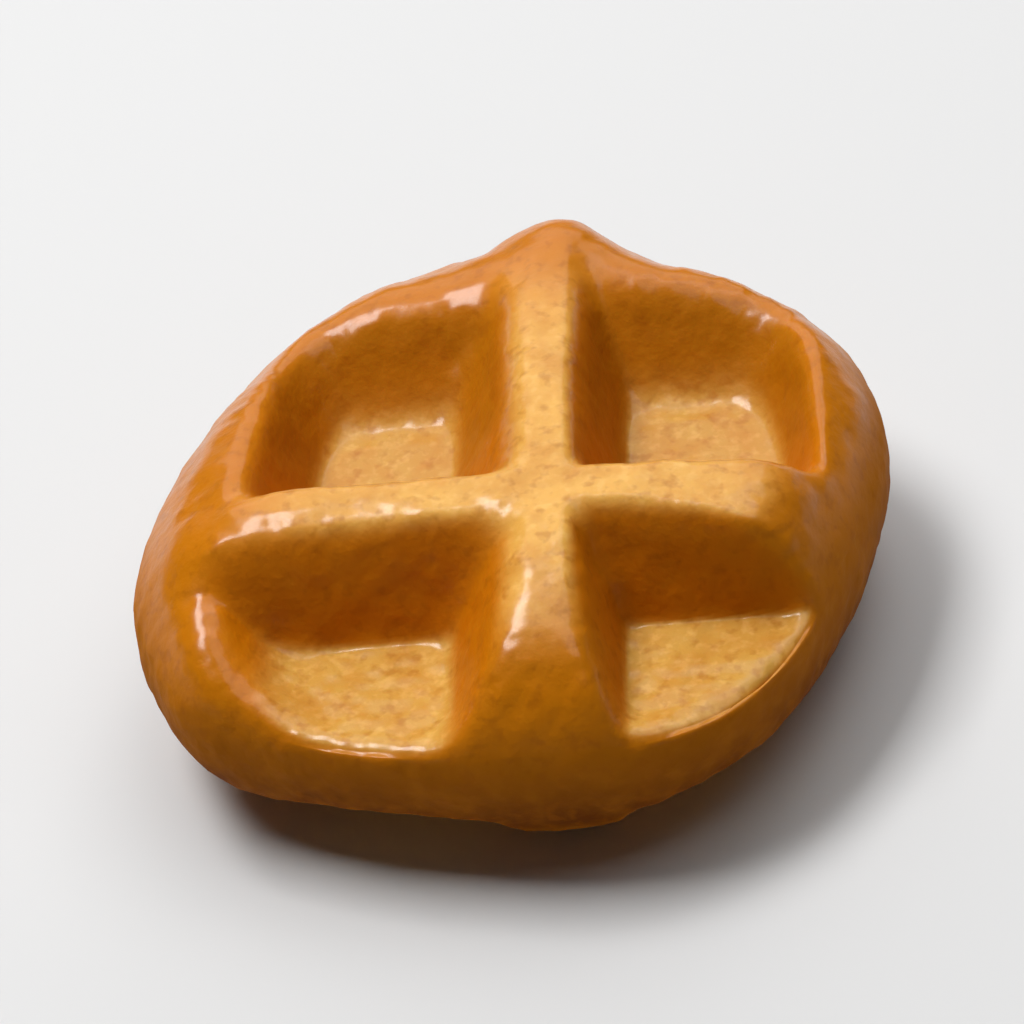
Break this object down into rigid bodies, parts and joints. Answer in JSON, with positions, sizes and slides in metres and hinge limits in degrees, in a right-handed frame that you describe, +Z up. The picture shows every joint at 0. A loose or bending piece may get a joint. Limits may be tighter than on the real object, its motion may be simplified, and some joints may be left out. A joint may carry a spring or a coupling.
{
  "type": "waffle",
  "caption": "Small thick round waffle with deep square pockets between a cross of ribs on both faces, golden brown and glossy.",
  "frame": {"origin": "middle of the footprint, on the surface that the lower ribs rest on", "axes": "+Z up through the waffle, +X to the right and +Y to the back along the ribs, as seen in the picture"},
  "size_m": [0.0559, 0.0563, 0.0225],
  "materials": {
    "crust": "golden brown baked crust with a thin buttery shine"
  },
  "bodies": {
    "root": {"waffle": "crust"}
  },
  "joints": []
}
